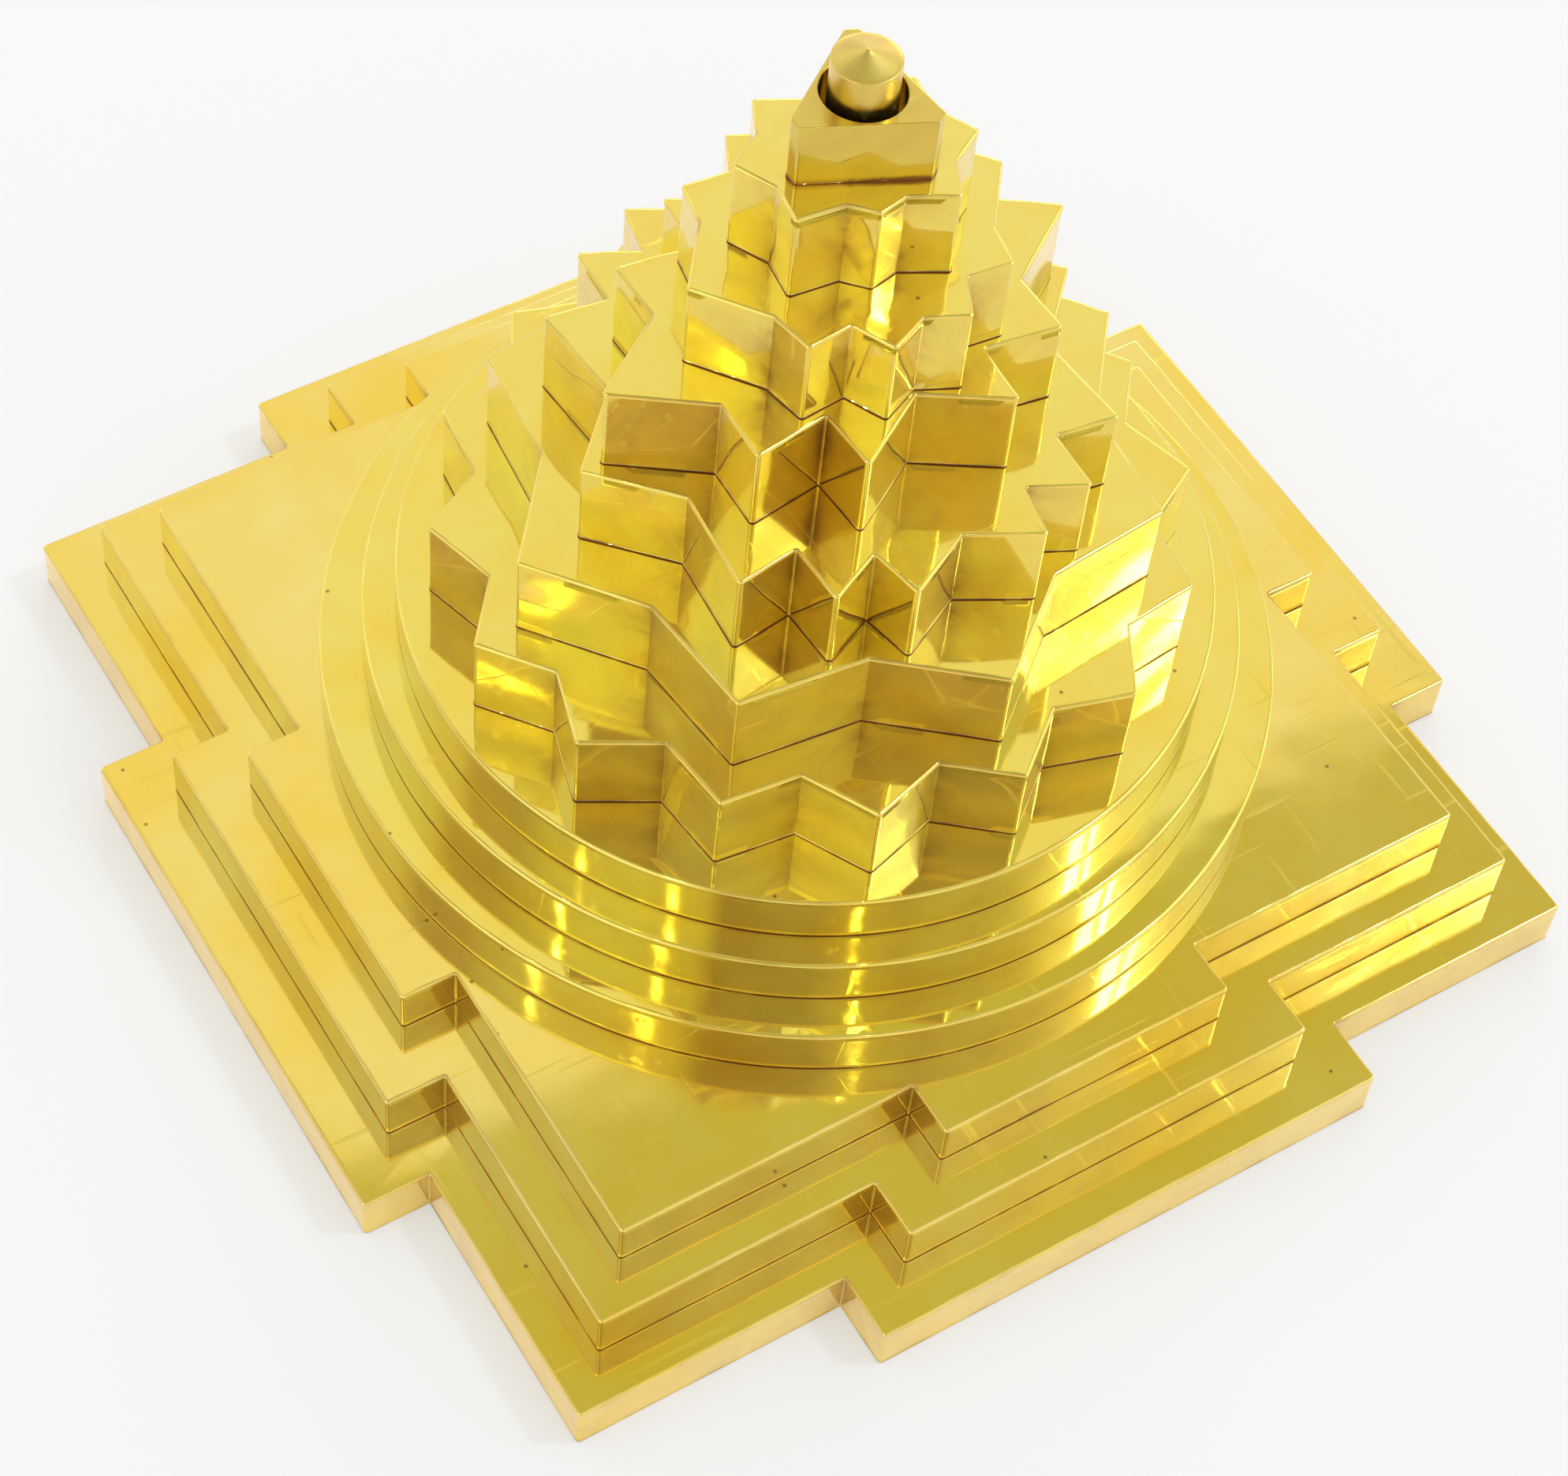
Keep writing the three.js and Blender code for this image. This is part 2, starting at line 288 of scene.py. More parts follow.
def middle_face(outer, loops, points, facing):
    """Triangles of a flat face between one outer ring and the hole rings in it, given as rows of
    point numbers, turned to face up or down."""
    rings = [outer, *loops]
    numbers = np.concatenate(rings)
    flat = [[Vector(points[n]) for n in ring] for ring in rings]
    corners = numbers[np.array(tessellate_polygon(flat))]
    a, b, c = (points[corners[:, k]][:, :2] for k in range(3))
    area = (b - a)[:, 0] * (c - a)[:, 1] - (b - a)[:, 1] * (c - a)[:, 0]
    corners[area * facing < 0] = corners[area * facing < 0][:, ::-1]
    return corners.tolist()


def ring_faces(numbers):
    """Four-sided faces between neighbouring rows of point numbers, closed round each row."""
    side = np.roll(numbers, -1, axis=1)
    faces = np.stack([numbers[:-1], side[:-1], side[1:], numbers[1:]], axis=-1)
    return faces.reshape(-1, 4).tolist()


def mesh_object(name, points, faces, tarnish_and_shade=None):
    """An object at the origin from points in millimetres, smooth but for its sharp edges. Tarnish and
    painted seam shade, if given, are kept at each point for the finish to read."""
    mesh = bpy.data.meshes.new(name)
    mesh.from_pydata((points / mm_per_metre).tolist(), [], faces)
    if tarnish_and_shade is not None:
        mesh.attributes.new("tarnish_and_shade", "FLOAT", "POINT").data.foreach_set("value", tarnish_and_shade)
    work = bmesh.new()
    work.from_mesh(mesh)
    bmesh.ops.recalc_face_normals(work, faces=work.faces)
    work.to_mesh(mesh)
    work.free()
    mesh.shade_smooth()
    mesh.set_sharp_from_angle(angle=np.radians(sharp_turn))
    thing = bpy.data.objects.new(name, mesh)
    bpy.context.scene.collection.objects.link(thing)
    return thing


def slab_rings(outline, base, top, tread_share, depths, seed, waves, edges):
    """Rings of points up one slab, and each ring's height. The edge profile is carried round the
    outline: a point = outline point - outward direction * inset. The tread and the underside are the
    rim's last and first ring times shares, drawn in towards the middle. Slow waves, as hand buffing
    leaves them, sink the wall and the tread by their depth times (1 - wave) / 2, and the file takes
    more or less off the upper edge."""
    points, outward, _ = outline
    wall_depth, tread_depth = depths
    inset, level = edge_profile(top - base, *edges)
    flat_points = np.pad(points, ((0, 0), (0, 1)))
    filed = 1 + filed_share * slow_waves(flat_points, seed + filed_seed, *filed_waves)
    eased = np.where(level > (top - base) / 2, 1, 0)[:, None] * (filed - 1) + 1
    rim = points[None] - outward[None] * (inset[:, None] * eased)[..., None]
    shrink = np.linspace(1, tread_share, 2 + int(rings_per_share * (1 - tread_share)))[1:]
    tread = rim[-1][None] * shrink[:, None, None]
    under_shares = np.array([tread_share, (1 + tread_share) / 2])
    under = rim[0][None] * under_shares[:, None, None]
    plan = np.concatenate([under, rim, tread])
    foot = np.zeros(len(under_shares))
    heights = np.concatenate([foot, level, np.full(len(shrink), top - base)]) + base
    rings = np.concatenate([plan, np.broadcast_to(heights[:, None, None], plan.shape[:2] + (1,))], 2)
    wave = (1 - slow_waves(rings, seed, *waves)) / 2
    wall = np.zeros(len(heights))
    first_row = len(under_shares) + 1 + lower_edge_points
    wall[first_row : first_row + wall_rows] = 1
    rings[..., :2] -= outward * (wall[:, None] * wave * wall_depth)[..., None]
    flat_rows = np.zeros(len(under_shares) + len(level))
    fade = np.concatenate([flat_rows, np.sin(np.linspace(0, np.pi, len(shrink)))])
    rings[..., 2] -= fade[:, None] * wave * tread_depth
    return rings, heights


def bore_rings(x, y, rows):
    """Rings of points down a hole, one for each row of radius and height: (x, y) + radius * (cosine,
    sine) of the turn, at that height."""
    turn = np.linspace(0, 2 * np.pi, hole_steps, endpoint=False)
    circle = np.stack([np.cos(turn), np.sin(turn)], axis=-1)
    radius, height = np.array(rows).T[..., None, None]
    plan = circle[None] * radius + np.array([x, y])
    return np.concatenate([plan, np.broadcast_to(height, plan.shape[:2] + (1,))], axis=2)


def tier(name, outline, tread_share, holes=None, wall_depth=0.07, tread_depth=0.03, seed=1,
         waves=(4, 15), edges=(upper_edge, lower_edge)):
    """One slab of the stack, with its holes bored and its flat faces closed between them. The dark at
    the foot of each wall is painted shade of the seam, partly old polish caught there: full up to the
    seam's height and gone at twice that. Tarnish stays where no buffing wheel reaches: in the valleys,
    in the holes and faintly on the wall."""
    low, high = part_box(name)
    base, top = low.z * mm_per_metre, high.z * mm_per_metre
    depths = (wall_depth, tread_depth)
    rings, heights = slab_rings(outline, base, top, tread_share, depths, seed, waves, edges)
    count, around = rings.shape[:2]
    numbers = np.arange(count * around).reshape(count, around)
    faces = ring_faces(numbers)
    everything = [rings.reshape(-1, 3)]
    _, _, valley = outline
    # Painted shade in the crease at each wall's foot, partly old polish caught in the seam
    seam = np.clip(2 - (heights - base) / seam_height, 0, 1) * seam_shade_and_polish
    on_wall = (heights < top)[:, None] * wall_tarnish
    tarnish_and_shade = [np.maximum(seam[:, None], on_wall * (1 + valley_extra * valley)).reshape(-1)]
    used = count * around
    below, above = [], []
    for x, y, rows, open_below, open_above in holes or holes_through(base, top):
        bore = bore_rings(x, y, rows)
        bore_numbers = np.arange(len(rows) * hole_steps).reshape(len(rows), -1) + used
        used += bore_numbers.size
        everything.append(bore.reshape(-1, 3))
        tarnish_and_shade.append(np.full(bore_numbers.size, wall_tarnish))
        faces += ring_faces(bore_numbers[:, ::-1])
        if open_below:
            below.append(bore_numbers[0])
        else:
            faces.append(bore_numbers[0].tolist())
        if open_above:
            above.append(bore_numbers[-1])
        else:
            faces.append(bore_numbers[-1][::-1].tolist())
    everything = np.concatenate(everything)
    faces += middle_face(numbers[0], below, everything, -1)
    faces += middle_face(numbers[-1], above, everything, 1)
    return mesh_object(name + "_buffed", everything, faces, np.concatenate(tarnish_and_shade))


def buffed_brass_group():
    """Colour, roughness and normal of hand-buffed brass. Large patches drift between two brasses,
    small grain and smears of old polish vary the roughness, slow waves and thin scratches bend the
    normal, and the treads' few pits, the tarnished places and the painted shade in the seams that the
    mesh carries are stained brown."""
    grain_share = 0.35
    scratch_dulling = 0.25
    buffed_tarnish = 0.05
    pale_stain = (0.45, 0.23, 0.04, 1)
    # The dark stain is also the colour of the painted shade in the seams
    dark_stain_and_shade = (0.17, 0.065, 0.015, 1)
    group = bpy.data.node_groups.new("buffed brass", "ShaderNodeTree")
    wanted = [
        ("Yellow brass", "NodeSocketColor"),
        ("Warm brass", "NodeSocketColor"),
        ("Patch scale", "NodeSocketFloat"),
        ("Gloss", "NodeSocketFloat"),
        ("Satin", "NodeSocketFloat"),
        ("Wave scale", "NodeSocketFloat"),
        ("Wave height", "NodeSocketFloat"),
        ("Scratch height", "NodeSocketFloat"),
        ("Pit share", "NodeSocketFloat"),
    ]
    for socket, kind in wanted:
        group.interface.new_socket(socket, in_out="INPUT", socket_type=kind)
    for socket, kind in [
        ("Color", "NodeSocketColor"),
        ("Roughness", "NodeSocketFloat"),
        ("Normal", "NodeSocketVector"),
    ]:
        group.interface.new_socket(socket, in_out="OUTPUT", socket_type=kind)
    link = group.links.new
    given = add_node(group, "NodeGroupInput", (-1500, 0))
    result = add_node(group, "NodeGroupOutput", (1300, 0))
    place = add_node(group, "ShaderNodeTexCoord", (-1500, 500))
    here = place.outputs["Object"]

    # Patches that drift between the two brasses
    patch = add_node(group, "ShaderNodeTexNoise", (-1100, 600))
    set_inputs(patch, Detail=3.0, Roughness=0.55, Distortion=0.3)
    link(here, patch.inputs["Vector"])
    link(given.outputs["Patch scale"], patch.inputs["Scale"])
    drift = add_node(group, "ShaderNodeMapRange", (-850, 600))
    set_inputs(drift, From_Min=0.35, From_Max=0.68)
    link(patch.outputs["Fac"], drift.inputs["Value"])
    blend = add_node(group, "ShaderNodeMix", (-600, 600), data_type="RGBA")
    link(drift.outputs["Result"], blend.inputs["Factor"])
    link(given.outputs["Yellow brass"], blend.inputs["A"])
    link(given.outputs["Warm brass"], blend.inputs["B"])

    # Fine grain and smears of old polish, from gloss to satin
    grain = add_node(group, "ShaderNodeTexNoise", (-1100, 250))
    set_inputs(grain, Scale=1400.0, Detail=4.0, Roughness=0.6)
    link(here, grain.inputs["Vector"])
    smear = add_node(group, "ShaderNodeTexNoise", (-1100, 0))
    set_inputs(smear, Scale=120.0, Detail=4.0, Roughness=0.65, Distortion=0.8)
    link(here, smear.inputs["Vector"])
    both = add_node(group, "ShaderNodeMath", (-850, 120), operation="MULTIPLY_ADD")
    link(grain.outputs["Fac"], both.inputs[0])
    both.inputs[1].default_value = grain_share
    link(smear.outputs["Fac"], both.inputs[2])
    rough = add_node(group, "ShaderNodeMapRange", (-600, 120))
    set_inputs(rough, From_Min=0.45, From_Max=0.9)
    link(both.outputs["Value"], rough.inputs["Value"])
    link(given.outputs["Gloss"], rough.inputs["To Min"])
    link(given.outputs["Satin"], rough.inputs["To Max"])

    # Pits in a share of the cells, on the treads alone, where the mesh marks neither tarnished places
    # nor painted seam shade
    pits = add_node(group, "ShaderNodeTexVoronoi", (-1100, -300), voronoi_dimensions="2D")
    set_inputs(pits, Scale=120.0, Randomness=1.0)
    link(here, pits.inputs["Vector"])
    chance = add_node(group, "ShaderNodeSeparateColor", (-850, -420))
    link(pits.outputs["Color"], chance.inputs["Color"])
    some = add_node(group, "ShaderNodeMath", (-600, -420), operation="LESS_THAN")
    link(chance.outputs["Red"], some.inputs[0])
    link(given.outputs["Pit share"], some.inputs[1])
    small = add_node(group, "ShaderNodeMapRange", (-850, -220))
    set_inputs(small, From_Min=0.014, From_Max=0.034, To_Min=0.8, To_Max=0.0)
    link(pits.outputs["Distance"], small.inputs["Value"])
    pit = add_node(group, "ShaderNodeMath", (-400, -300), operation="MULTIPLY")
    link(small.outputs["Result"], pit.inputs[0])
    link(some.outputs["Value"], pit.inputs[1])
    tarnish_and_shade = add_node(group, "ShaderNodeAttribute", (-1100, 1100), attribute_name="tarnish_and_shade")
    tread = add_node(group, "ShaderNodeMath", (-600, -100), operation="LESS_THAN")
    link(tarnish_and_shade.outputs["Fac"], tread.inputs[0])
    tread.inputs[1].default_value = buffed_tarnish
    on_tread = add_node(group, "ShaderNodeMath", (-200, -200), operation="MULTIPLY")
    link(pit.outputs["Value"], on_tread.inputs[0])
    link(tread.outputs["Value"], on_tread.inputs[1])

    # Tarnish and painted seam shade of the mesh, broken up by a cloud, and with the pits laid over the
    # brass as brown stain
    cloud = add_node(group, "ShaderNodeTexNoise", (-1100, 850))
    set_inputs(cloud, Scale=150.0, Detail=4.0, Roughness=0.6, Distortion=0.6)
    link(here, cloud.inputs["Vector"])
    uneven = add_node(group, "ShaderNodeMapRange", (-850, 850))
    set_inputs(uneven, From_Min=0.42, From_Max=0.75, To_Min=0.4, To_Max=1.2)
    link(cloud.outputs["Fac"], uneven.inputs["Value"])
    left = add_node(group, "ShaderNodeMath", (-600, 900), operation="MULTIPLY", use_clamp=True)
    link(tarnish_and_shade.outputs["Fac"], left.inputs[0])
    link(uneven.outputs["Result"], left.inputs[1])
    brown = add_node(group, "ShaderNodeMath", (-400, 300), operation="MAXIMUM")
    link(on_tread.outputs["Value"], brown.inputs[0])
    link(left.outputs["Value"], brown.inputs[1])
    stain = add_node(group, "ShaderNodeMix", (-300, 700), data_type="RGBA")
    link(brown.outputs["Value"], stain.inputs["Factor"])
    stain.inputs["A"].default_value = pale_stain
    stain.inputs["B"].default_value = dark_stain_and_shade
    # Brass darkened by stain, pits and the painted seam shade
    dirt_and_shade = add_node(group, "ShaderNodeMix", (-100, 500), data_type="RGBA")
    link(brown.outputs["Value"], dirt_and_shade.inputs["Factor"])
    link(blend.outputs["Result"], dirt_and_shade.inputs["A"])
    link(stain.outputs["Result"], dirt_and_shade.inputs["B"])
    link(dirt_and_shade.outputs["Result"], result.inputs["Color"])

    # Slow waves in the surface
    wave = add_node(group, "ShaderNodeTexNoise", (-350, -600))
    set_inputs(wave, Detail=1.0, Roughness=0.4)
    link(here, wave.inputs["Vector"])
    link(given.outputs["Wave scale"], wave.inputs["Scale"])
    wavy = add_node(group, "ShaderNodeBump", (0, -500))
    wavy.inputs["Strength"].default_value = 1.0
    link(wave.outputs["Fac"], wavy.inputs["Height"])
    link(given.outputs["Wave height"], wavy.inputs["Distance"])

    # Two sets of thin scratches, cut in and duller, which show in the warm patches alone
    scratch_sets = []
    for turn, spread in [(0.45, (40.0, 900.0, 400.0)), (1.35, (900.0, 55.0, 400.0))]:
        row = -900 - 300 * len(scratch_sets)
        mapped = add_node(group, "ShaderNodeMapping", (-650, row))
        mapped.inputs["Rotation"].default_value = (0, 0, turn)
        mapped.inputs["Scale"].default_value = spread
        link(here, mapped.inputs["Vector"])
        lines = add_node(group, "ShaderNodeTexNoise", (-400, row))
        set_inputs(lines, Scale=1.0, Detail=2.0, Distortion=0.1)
        link(mapped.outputs["Vector"], lines.inputs["Vector"])
        thin = add_node(group, "ShaderNodeMapRange", (-150, row))
        set_inputs(thin, From_Min=0.64, From_Max=0.74, To_Min=0.0, To_Max=1.0)
        link(lines.outputs["Fac"], thin.inputs["Value"])
        scratch_sets.append(thin.outputs["Result"])
    scratches = add_node(group, "ShaderNodeMath", (100, -1000), operation="MAXIMUM")
    link(scratch_sets[0], scratches.inputs[0])
    link(scratch_sets[1], scratches.inputs[1])
    worn = add_node(group, "ShaderNodeMath", (250, -800), operation="MULTIPLY")
    link(scratches.outputs["Value"], worn.inputs[0])
    link(drift.outputs["Result"], worn.inputs[1])
    dulled = add_node(group, "ShaderNodeMath", (600, 100), operation="MULTIPLY_ADD")
    link(worn.outputs["Value"], dulled.inputs[0])
    dulled.inputs[1].default_value = scratch_dulling
    link(rough.outputs["Result"], dulled.inputs[2])
    link(dulled.outputs["Value"], result.inputs["Roughness"])
    scratched = add_node(group, "ShaderNodeBump", (400, -600))
    scratched.invert = True
    scratched.inputs["Strength"].default_value = 1.0
    link(worn.outputs["Value"], scratched.inputs["Height"])
    link(given.outputs["Scratch height"], scratched.inputs["Distance"])
    link(wavy.outputs["Normal"], scratched.inputs["Normal"])
    link(scratched.outputs["Normal"], result.inputs["Normal"])
    return group


buffed_brass = buffed_brass_group()


def brass_finish(name, **values):
    """A brass material: the buffed brass group with its own values, into one metal shader with a thin
    clear film over it, such as wax or lacquer."""
    material, tree, shader = new_material(name)
    effect = add_node(tree, "ShaderNodeGroup", (0, 0))
    effect.node_tree = buffed_brass
    set_inputs(effect, **values)
    tree.links.new(effect.outputs["Color"], shader.inputs["Base Color"])
    tree.links.new(effect.outputs["Roughness"], shader.inputs["Roughness"])
    tree.links.new(effect.outputs["Normal"], shader.inputs["Normal"])
    set_inputs(shader, Metallic=1.0, Coat_Weight=0.8, Coat_Roughness=0.35)
    return material


plate_brass = brass_finish(
    "plate brass",
    Yellow_brass=(0.87, 0.745, 0.2, 1),
    Warm_brass=(0.87, 0.67, 0.08, 1),
    Patch_scale=48.0,
    Gloss=0.03,
    Satin=0.09,
    Wave_scale=70.0,
    Wave_height=0.00004,
    Scratch_height=0.0000035,
    Pit_share=0.22,
)


def finish_tier(piece, node, material):
    """Gives a tier its material, puts it with the stack and hides the CAD part that it takes the place
    of."""
    piece.data.materials.append(material)
    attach(piece, "stack")
    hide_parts(node)


plate_seed = 10
for seed, (name, (side, gate_width, gate_reach, share)) in enumerate(plate_sizes.items(), plate_seed):
    outline = rounded_outline(plate_corners(side, gate_width, gate_reach))
    plate = tier(name, outline, share, seed=seed)
    finish_tier(plate, name, plate_brass)


# Three round discs, turned from 6 mm brass on a lathe and buffed while they spin, so their walls
# are smoother and truer than those of the plates and the stars.

# Diameter and how near the middle the tread's rings run, as a share of the edge
disc_sizes = {
    "disc_lower": (100.0, 0.84),
    "disc_middle": (91.0, 0.84),
    "disc_upper": (84.0, 0.74),
}
disc_steps = 360
disc_brass = brass_finish(
    "disc brass",
    Yellow_brass=(0.84, 0.735, 0.14, 1),
    Warm_brass=(0.85, 0.67, 0.075, 1),
    Patch_scale=70.0,
    Gloss=0.02,
    Satin=0.06,
    Wave_scale=90.0,
    Wave_height=0.00005,
    Scratch_height=0.000001,
    Pit_share=0.12,
)


def circle_outline(radius):
    """Points round a circle, the outward direction at each, and no valleys: radius * (cosine, sine)
    of the turn."""
    turn = np.linspace(0, 2 * np.pi, disc_steps, endpoint=False)
    outward = np.stack([np.cos(turn), np.sin(turn)], axis=-1)
    return radius * outward, outward, np.zeros(disc_steps)


disc_seed = 20
disc_wall_depth = 0.04
for seed, (name, (diameter, share)) in enumerate(disc_sizes.items(), disc_seed):
    disc = tier(name, circle_outline(diameter / 2), share, wall_depth=disc_wall_depth, seed=seed)
    finish_tier(disc, name, disc_brass)


# Six stars, milled from 10 mm brass plate and filed and buffed by hand, so their walls are the least
# flat. The two lowest are regular and the others mirrored in X and Y. The topmost, which carries
# the block, is turned a little.

# Reach, waist, number of tips and how near the middle the tread's rings run, as a share of the edge
regular_stars = {
    "star_sixteen": (38.8, 34.1, 16, 0.7),
    "star_eight": (34.2, 27.7, 8, 0.6),
}
# Reach, the corners of a quarter as turns from +X and shares of the reach, and the tread's share
mirrored_stars = {
    "star_fourteen": (
        28.2,
        [(0, 0.98), (20.2, 0.77), (41, 1), (50.2, 0.81), (59.5, 1), (68.5, 0.82), (75, 1), (90, 0.83)],
        0.48,
    ),
    "star_ten_outer": (
        25.7,
        [(0, 1), (20.6, 0.69), (38, 0.83), (53.7, 0.575), (66, 0.8), (90, 0.53)],
        0.6,
    ),
    "star_ten_inner": (
        17.1,
        [(0, 1), (29, 0.8), (45.6, 0.925), (60, 0.73), (74.5, 0.91), (90, 0.765)],
        0.75,
    ),
    "star_eight_inner": (
        11.6,
        [(0, 1), (22, 0.785), (45, 0.945), (68, 0.63), (90, 0.715)],
        0.96,
    ),
}
top_star_turn = -16.5
star_brass = brass_finish(
    "star brass",
    Yellow_brass=(0.83, 0.73, 0.14, 1),
    Warm_brass=(0.84, 0.675, 0.095, 1),
    Patch_scale=110.0,
    Gloss=0.03,
    Satin=0.09,
    Wave_scale=130.0,
    Wave_height=0.00005,
    Scratch_height=0.000001,
    Pit_share=0.1,
)


def polar(turn, distance):
    """Points at turns from +X, in degrees, and distances from the middle."""
    turn = np.radians(turn)
    return np.stack([distance * np.cos(turn), distance * np.sin(turn)], axis=-1)


def regular_star(reach, waist, tips):
    """Corners of a star whose tips are alike: tips at the reach and valleys at the waist by turns."""
    corner = np.arange(2 * tips)
    return polar(corner * 180 / tips, np.where(corner % 2, waist, reach))


def mirrored_star(reach, quarter, turned):
    """Corners of a star from one quarter, mirrored in Y, then turned half round, then turned."""
    turn, share = np.array(quarter, float).T
    turn = np.concatenate([turn, 180 - turn[-2:0:-1]])
    share = np.concatenate([share, share[-2:0:-1]])
    return polar(np.concatenate([turn, turn + 180]) + turned, reach * np.tile(share, 2))


def make_star(name, corners, share, seed):
    """One star of the stack from its corners, buffed by hand."""
    buffing = {"wall_depth": 0.13, "tread_depth": 0.05, "waves": (5, 14)}
    star = tier(name, rounded_outline(corners), share, seed=seed, **buffing)
    finish_tier(star, name, star_brass)


regular_seed = 30
for seed, (name, (reach, waist, tips, share)) in enumerate(regular_stars.items(), regular_seed):
    make_star(name, regular_star(reach, waist, tips), share, seed)

mirrored_seed = 40
for seed, (name, (reach, quarter, share)) in enumerate(mirrored_stars.items(), mirrored_seed):
    turned = top_star_turn if name == "star_eight_inner" else 0
    make_star(name, mirrored_star(reach, quarter, turned), share, seed)


# Small triangular block with its corners cut square, sawn from brass bar and pinned on the topmost
# star. The bindu's hole goes right through it and leaves hardly any wall at the middle of each side,
# so its edges are only just broken.
block_wall = 0.4
block_corner_cut = 1.4
block_turn = 5.8
block_edges = (0.12, 0.1)
block_tread_share = 0.995
block_wall_depth = 0.06
block_seed = 50
hole_chamfer = 0.1
widest_pin_hole = 2.0
_, _, bindu_radius, bindu_foot, bindu_top = bar_of("bindu")
bindu_hole = bindu_radius + bindu_clearance
block_radius = bindu_hole + block_wall
block_half_side = block_radius * np.sqrt(3) - block_corner_cut


def block_corners():
    """Corners of the cut triangle: both ends of one side, at the in-radius, turned by thirds."""
    ends = np.array([[block_radius, -block_half_side], [block_radius, block_half_side]])
    return turned_copies(ends, np.radians(block_turn + np.arange(3) * 120))


# A darker copy of the brass: its dim colour is painted shade for the darker surroundings that the
# block mirrors
block_brass = brass_finish(
    "block brass",
    Yellow_brass=(0.66, 0.54, 0.08, 1),
    Warm_brass=(0.66, 0.5, 0.06, 1),
    Patch_scale=140.0,
    Gloss=0.06,
    Satin=0.14,
    Wave_scale=180.0,
    Wave_height=0.00003,
    Scratch_height=0.000001,
    Pit_share=0.02,
)
block_low, block_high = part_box("top_triangle")
block_base, block_top = block_low.z * mm_per_metre, block_high.z * mm_per_metre
bindu_hole_rows = [
    (bindu_hole, block_base),
    (bindu_hole, block_top - hole_chamfer),
    (bindu_hole + hole_chamfer, block_top),
]
pin_sockets = [
    (x, y, rows, open_below, open_above)
    for x, y, rows, open_below, open_above in holes_through(block_base, block_top)
    if rows[0][0] < widest_pin_hole
]
block = tier(
    "top_triangle",
    rounded_outline(block_corners()),
    block_tread_share,
    holes=[(0, 0, bindu_hole_rows, True, True), *pin_sockets],
    wall_depth=block_wall_depth,
    tread_depth=0.0,
    seed=block_seed,
    edges=block_edges,
)
finish_tier(block, "top_triangle", block_brass)


# Bindu, a short round peg turned from brass rod with a low cone on top. It stands loose in the
# block's hole and lifts out.
foot_rounding = 0.25
foot_share = 0.6
rim_rounding = 0.12
cone_height = 1.1
cone_hollow = 1.08
stem_foot_gap = 1
stem_rim_gap = 0.3
rounding_rings = 6
stem_rings = 6
cone_rings = 9
bindu_steps = 96
# Radii of the last two rings under the blunt point, and how far below it they lie
point_radii = [0.16, 0.07]
point_drops = [0.02, 0.004]


def turned_bindu():
    """The peg's profile, rounded at its foot and rim and faintly hollow on the cone, turned about
    the middle line: each row of radius and height is carried round the circle. On the cone, the
    radius falls evenly to 0 while the height rises by cone height * share ** hollow."""
    turn = np.linspace(0, np.pi / 2, rounding_rings)
    rim_height = bindu_top - cone_height
    cone = np.linspace(0, 1, cone_rings)[1:-1]
    radius = np.concatenate(
        [
            [foot_share * bindu_radius],
            bindu_radius - foot_rounding * (1 - np.sin(turn)),
            np.full(stem_rings, bindu_radius),
            bindu_radius - rim_rounding * (1 - np.cos(turn)),
            (bindu_radius - rim_rounding) * (1 - cone),
            point_radii,
        ]
    )
    height = np.concatenate(
        [
            [bindu_foot],
            bindu_foot + foot_rounding * (1 - np.cos(turn)),
            np.linspace(bindu_foot + stem_foot_gap, rim_height - stem_rim_gap, stem_rings),
            rim_height - rim_rounding + rim_rounding * np.sin(turn),
            rim_height + cone_height * cone**cone_hollow,
            bindu_top - np.array(point_drops),
        ]
    )
    around = np.linspace(0, 2 * np.pi, bindu_steps, endpoint=False)
    circle = np.stack([np.cos(around), np.sin(around), np.zeros(bindu_steps)], axis=-1)
    rings = circle[None] * radius[:, None, None]
    rings[..., 2] += height[:, None]
    numbers = np.arange(rings[..., 0].size).reshape(len(radius), -1)
    faces = ring_faces(numbers)
    faces.append(numbers[0][::-1].tolist())
    faces.append(numbers[-1].tolist())
    return mesh_object("bindu_turned", rings.reshape(-1, 3), faces)


# A darker copy of the brass: its dim colour is painted shade for the darker surroundings that the
# bindu mirrors
bindu_brass = brass_finish(
    "bindu brass",
    Yellow_brass=(0.68, 0.53, 0.1, 1),
    Warm_brass=(0.63, 0.46, 0.08, 1),
    Patch_scale=160.0,
    Gloss=0.2,
    Satin=0.36,
    Wave_scale=160.0,
    Wave_height=0.00002,
    Scratch_height=0.000001,
    Pit_share=0.03,
)
bindu = turned_bindu()
bindu.data.materials.append(bindu_brass)
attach(bindu, "bindu_peg")
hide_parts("bindu")


# White matt table top that the yantra stands on, one flat sheet that reaches 2.5 m from the middle
# on every side. It isn't part of the object.
table_half = 2.5
unit_square = np.array([[-1, -1, 0], [1, -1, 0], [1, 1, 0], [-1, 1, 0]], float)
table_top = mesh_object("table_top", unit_square * table_half * mm_per_metre, [[0, 1, 2, 3]])
card_color = (0.44, 0.437, 0.425, 1)
card_glow = 0.445
seen_tint = (1, 0.995, 0.97, 1)
mirrored_tint = (1.3, 1.1, 0.95, 1)


